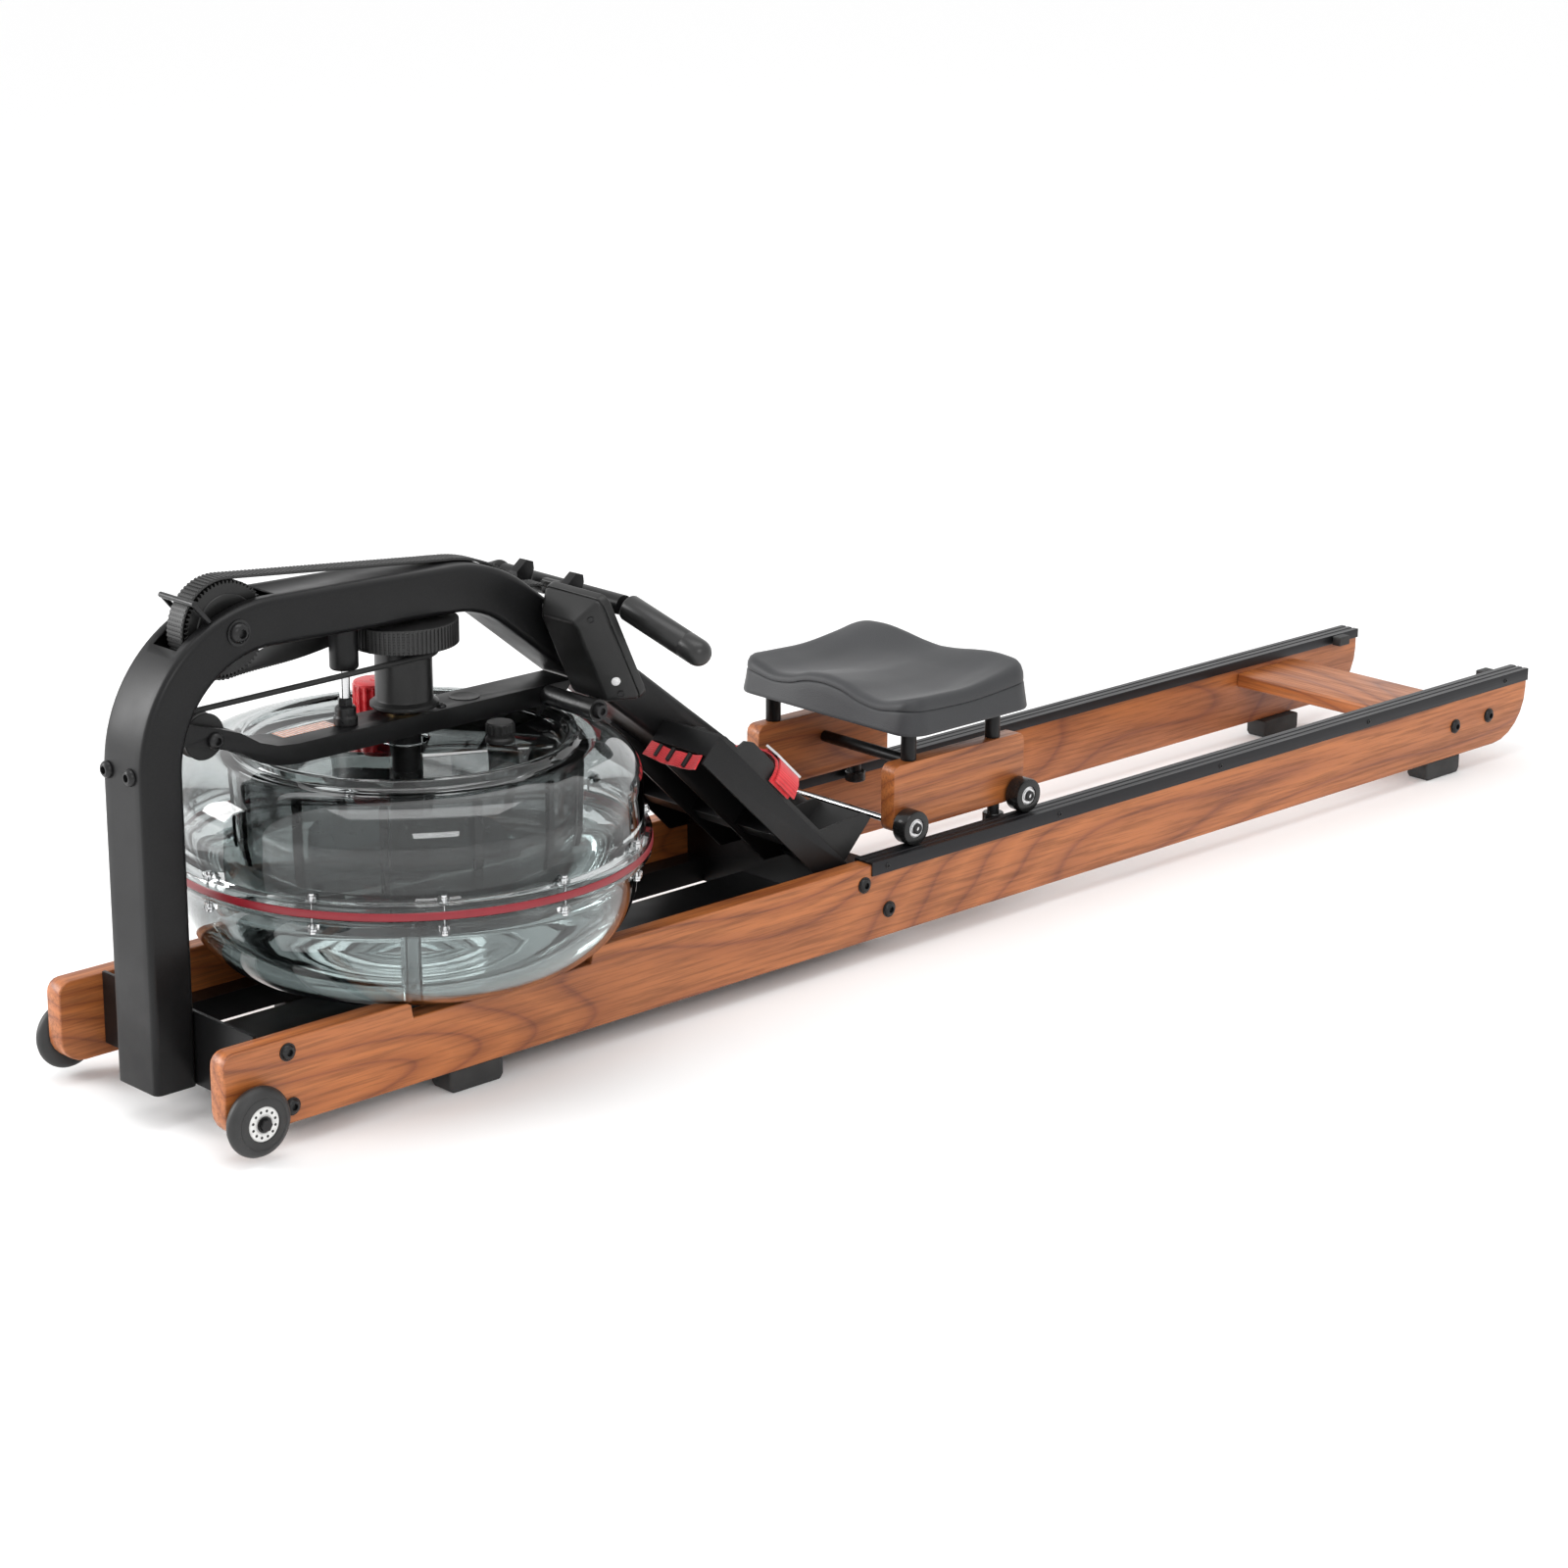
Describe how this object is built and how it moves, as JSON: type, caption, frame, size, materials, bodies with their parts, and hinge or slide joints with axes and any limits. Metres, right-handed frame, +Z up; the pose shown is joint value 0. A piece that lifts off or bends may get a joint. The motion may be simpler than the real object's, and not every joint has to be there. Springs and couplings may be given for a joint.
{
  "type": "rowing machine",
  "caption": "Water-resistance rowing machine with wooden rails, a clear round tank, a bent steel mast, a belt-pulled handle and a rolling seat.",
  "frame": {"origin": "centre of the machine's box in plan, on the floor under the rubber feet", "axes": "+X from the tank end to the back of the rails, +Y across the machine to its left seen from the tank, +Z up"},
  "size_m": [2.1166, 0.512, 0.5452],
  "materials": {
    "oiled_wood": "satin oil",
    "black_coat": "black powder coat",
    "black_anodised": "black anodised",
    "bright_steel": "bright",
    "black_plastic": "fine texture",
    "red_plastic": "gloss",
    "clear_shell": "clear moulded",
    "black_rubber": "matte",
    "red_rubber": "satin",
    "roller_rubber": "smooth",
    "red_webbing": "woven",
    "seat_foam": "soft moulded skin"
  },
  "bodies": {
    "frame": {"rail_near": "oiled_wood", "rail_far": "oiled_wood", "track_near": "black_anodised", "track_far": "black_anodised", "foot_front_near": "black_rubber", "foot_front_far": "black_rubber", "foot_rear_near": "black_rubber", "foot_rear_far": "black_rubber", "base_frame": "black_coat", "rear_slat": "oiled_wood", "mast": "black_coat", "top_pulley_axle": "bright_steel", "idler_axle": "bright_steel", "tank_bar": "black_coat", "tie_column": "bright_steel", "tank_lower": "clear_shell", "tank_seal": "red_rubber", "tank_upper": "clear_shell", "inner_chamber": "clear_shell", "knob_base": "black_plastic", "fill_plug": "black_plastic", "drive_belt": "black_rubber", "recoil_cord": "black_rubber", "handle_rest": "black_coat", "monitor_pivot": "black_coat", "foot_tray": "black_coat", "wheel_bolt_near": "bright_steel", "wheel_bolt_far": "bright_steel"},
    "carriage": {"carriage_board_near": "oiled_wood", "carriage_board_far": "oiled_wood", "carriage_tie": "black_coat", "axle_front": "bright_steel", "axle_rear": "bright_steel", "guide_pin_near": "bright_steel", "guide_pin_far": "bright_steel", "seat_support": "black_coat", "seat_pad": "seat_foam"},
    "roller_front_near": {"roller_front_near": "roller_rubber"},
    "roller_front_far": {"roller_front_far": "roller_rubber"},
    "roller_rear_near": {"roller_rear_near": "roller_rubber"},
    "roller_rear_far": {"roller_rear_far": "roller_rubber"},
    "guide_roller_near": {"guide_roller_near": "roller_rubber"},
    "guide_roller_far": {"guide_roller_far": "roller_rubber"},
    "handle": {"handle_bar": "black_coat", "grip_near": "black_rubber", "grip_far": "black_rubber", "belt_clasp": "black_plastic"},
    "top_pulley": {"top_pulley": "black_plastic"},
    "idler_pulley": {"idler_pulley": "black_plastic"},
    "belt_spool": {"belt_spool": "black_plastic"},
    "rotor": {"rotor_shaft": "bright_steel", "impeller": "black_plastic"},
    "resistance_knob": {"resistance_knob": "red_plastic"},
    "monitor": {"monitor": "black_plastic"},
    "pedal_near": {"pedal_near": "black_plastic", "foot_strap_near": "red_webbing"},
    "pedal_far": {"pedal_far": "black_plastic", "foot_strap_far": "red_webbing"},
    "wheel_near": {"wheel_near": "black_rubber"},
    "wheel_far": {"wheel_far": "black_rubber"}
  },
  "joints": [
    {"name": "carriage_slide", "type": "slide", "parent": "frame", "child": "carriage", "axis": [1, 0, 0], "range_m": [-0.03, 0.91]},
    {"name": "roller_front_near_spin", "type": "hinge", "parent": "carriage", "child": "roller_front_near", "pos_m": [-0.0887, -0.1355, 0.1372], "axis": [0, 1, 0], "continuous": true},
    {"name": "roller_front_far_spin", "type": "hinge", "parent": "carriage", "child": "roller_front_far", "pos_m": [-0.0887, 0.1355, 0.1372], "axis": [0, 1, 0], "continuous": true},
    {"name": "roller_rear_near_spin", "type": "hinge", "parent": "carriage", "child": "roller_rear_near", "pos_m": [0.0973, -0.1355, 0.1372], "axis": [0, 1, 0], "continuous": true},
    {"name": "roller_rear_far_spin", "type": "hinge", "parent": "carriage", "child": "roller_rear_far", "pos_m": [0.0973, 0.1355, 0.1372], "axis": [0, 1, 0], "continuous": true},
    {"name": "guide_roller_near_spin", "type": "hinge", "parent": "carriage", "child": "guide_roller_near", "pos_m": [0.0693, -0.1147, 0.111], "axis": [0, 0, 1], "continuous": true},
    {"name": "guide_roller_far_spin", "type": "hinge", "parent": "carriage", "child": "guide_roller_far", "pos_m": [0.0693, 0.1147, 0.111], "axis": [0, 0, 1], "continuous": true},
    {"name": "handle_pull", "type": "slide", "parent": "frame", "child": "handle", "axis": [1, 0, 0], "range_m": [0, 1.3], "stiffness_N_per_m": 8, "springref_m": -1.5},
    {"name": "top_pulley_spin", "type": "hinge", "parent": "frame", "child": "top_pulley", "pos_m": [-0.9297, 0, 0.49392], "axis": [0, 1, 0], "continuous": true},
    {"name": "idler_spin", "type": "hinge", "parent": "frame", "child": "idler_pulley", "pos_m": [-0.9557, 0, 0.387], "axis": [0, 1, 0], "continuous": true},
    {"name": "spool_spin", "type": "hinge", "parent": "frame", "child": "belt_spool", "pos_m": [-0.7007, 0, 0.45], "axis": [0, 0, 1], "continuous": true},
    {"name": "rotor_spin", "type": "hinge", "parent": "frame", "child": "rotor", "pos_m": [-0.7007, 0, 0.3], "axis": [0, 0, 1], "continuous": true},
    {"name": "knob_turn", "type": "hinge", "parent": "frame", "child": "resistance_knob", "pos_m": [-0.6817, 0.075, 0.36], "axis": [0, 0, 1], "range_deg": [0, 270]},
    {"name": "monitor_tilt", "type": "hinge", "parent": "frame", "child": "monitor", "pos_m": [-0.5292, -0.08, 0.353], "axis": [0, 1, 0], "range_deg": [-20, 0]},
    {"name": "pedal_near_slide", "type": "slide", "parent": "frame", "child": "pedal_near", "axis": [-0.7193, 0, 0.6947], "range_m": [0, 0.05]},
    {"name": "pedal_far_slide", "type": "slide", "parent": "frame", "child": "pedal_far", "axis": [-0.7193, 0, 0.6947], "range_m": [0, 0.05]},
    {"name": "wheel_near_spin", "type": "hinge", "parent": "frame", "child": "wheel_near", "pos_m": [-1.0217, -0.167, 0.0436], "axis": [0, 1, 0], "continuous": true},
    {"name": "wheel_far_spin", "type": "hinge", "parent": "frame", "child": "wheel_far", "pos_m": [-1.0217, 0.167, 0.0436], "axis": [0, 1, 0], "continuous": true}
  ],
  "couplings": [
    {"joint": "roller_front_near_spin", "follows": "carriage_slide", "rad_per_m": 50},
    {"joint": "roller_front_far_spin", "follows": "carriage_slide", "rad_per_m": 50},
    {"joint": "roller_rear_near_spin", "follows": "carriage_slide", "rad_per_m": 50},
    {"joint": "roller_rear_far_spin", "follows": "carriage_slide", "rad_per_m": 50},
    {"joint": "guide_roller_near_spin", "follows": "carriage_slide", "rad_per_m": -80},
    {"joint": "guide_roller_far_spin", "follows": "carriage_slide", "rad_per_m": 80},
    {"joint": "top_pulley_spin", "follows": "handle_pull", "rad_per_m": 19.88},
    {"joint": "idler_spin", "follows": "handle_pull", "rad_per_m": 22.83},
    {"joint": "spool_spin", "follows": "handle_pull", "rad_per_m": 17.76}
  ]
}
